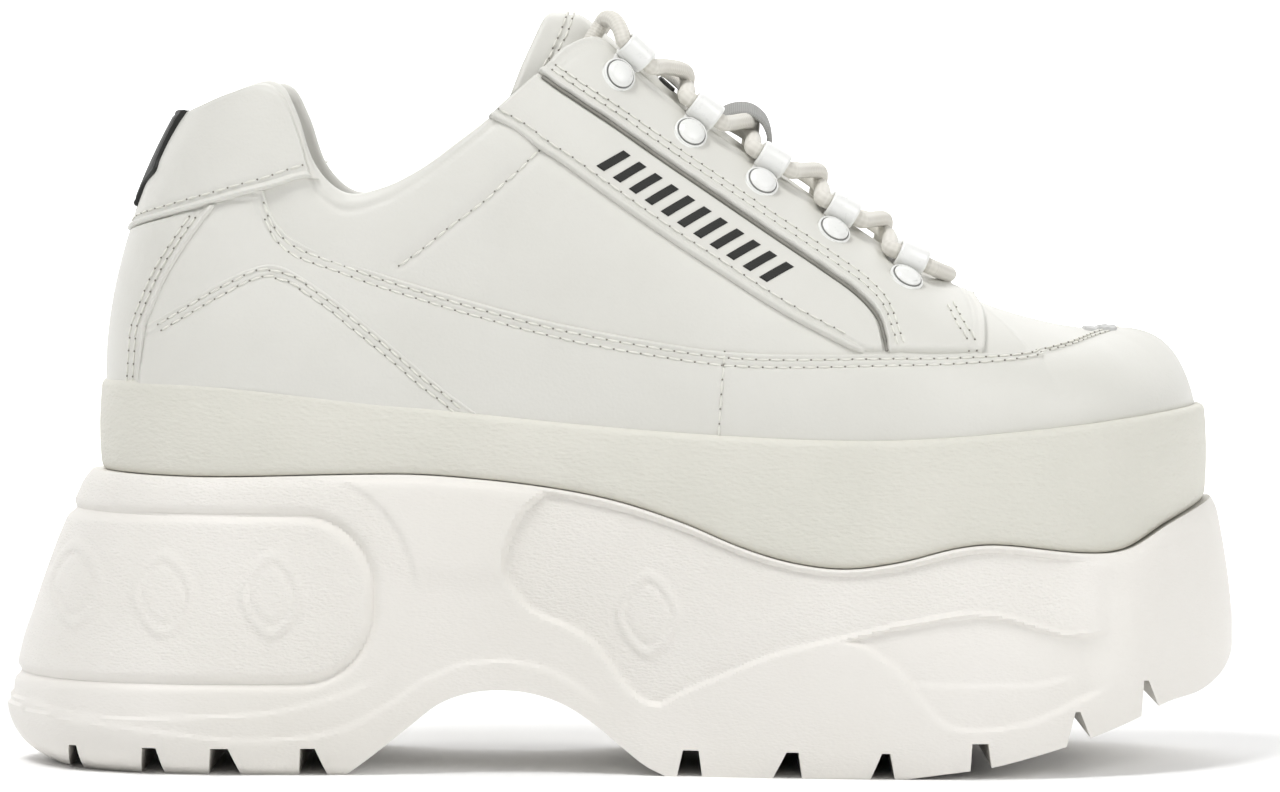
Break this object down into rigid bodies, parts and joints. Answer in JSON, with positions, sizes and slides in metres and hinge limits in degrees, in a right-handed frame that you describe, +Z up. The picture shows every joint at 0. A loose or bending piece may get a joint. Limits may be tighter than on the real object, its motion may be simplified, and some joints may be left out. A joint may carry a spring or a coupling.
{
  "type": "platform sneaker",
  "caption": "Low lace-up sneaker for the right foot on a thick wavy platform sole with a flared heel, padded collar, side straps and tube lace loops.",
  "frame": {"origin": "middle of the underside, on the floor that the sole stands on", "axes": "+X towards the toe, +Y towards the inner side of the foot, +Z up"},
  "size_m": [0.3058, 0.1108, 0.1871],
  "materials": {
    "sole_rubber": "cream-white moulded rubber, satin",
    "sole_band": "greyer cream foam skin with a fine leather-like grain",
    "upper_leather": "off-white smooth leather, soft sheen",
    "panel_leather": "off-white smooth leather, padded",
    "strap_leather": "off-white smooth leather with a turned edge",
    "tongue_leather": "off-white padded leather",
    "insole_lining": "light lining cloth",
    "loop_enamel": "white enamel",
    "rivet_enamel": "white enamel",
    "lace_cord": "round woven cord, cream",
    "keeper_tape": "grey woven tape"
  },
  "bodies": {
    "root": {"outsole": "sole_rubber", "midsole": "sole_band", "upper": "upper_leather", "tongue": "tongue_leather", "insole": "insole_lining", "heel_panel": "panel_leather", "side_strap_lateral": "strap_leather", "side_strap_medial": "strap_leather", "lace_keeper": "keeper_tape", "lace_loop_lateral_1": "loop_enamel", "lace_loop_lateral_2": "loop_enamel", "lace_loop_lateral_3": "loop_enamel", "lace_loop_lateral_4": "loop_enamel", "lace_loop_lateral_5": "loop_enamel", "lace_loop_medial_1": "loop_enamel", "lace_loop_medial_2": "loop_enamel", "lace_loop_medial_3": "loop_enamel", "lace_loop_medial_4": "loop_enamel", "lace_loop_medial_5": "loop_enamel", "rivet_lateral_1": "rivet_enamel", "rivet_lateral_2": "rivet_enamel", "rivet_lateral_3": "rivet_enamel", "rivet_lateral_4": "rivet_enamel", "rivet_lateral_5": "rivet_enamel", "rivet_medial_1": "rivet_enamel", "rivet_medial_2": "rivet_enamel", "rivet_medial_3": "rivet_enamel", "rivet_medial_4": "rivet_enamel", "rivet_medial_5": "rivet_enamel", "lace_cross_12": "lace_cord", "lace_cross_23": "lace_cord", "lace_cross_34": "lace_cord", "lace_cross_45": "lace_cord", "lace_bar": "lace_cord", "lace_end_lateral": "lace_cord", "lace_end_medial": "lace_cord"}
  },
  "joints": []
}
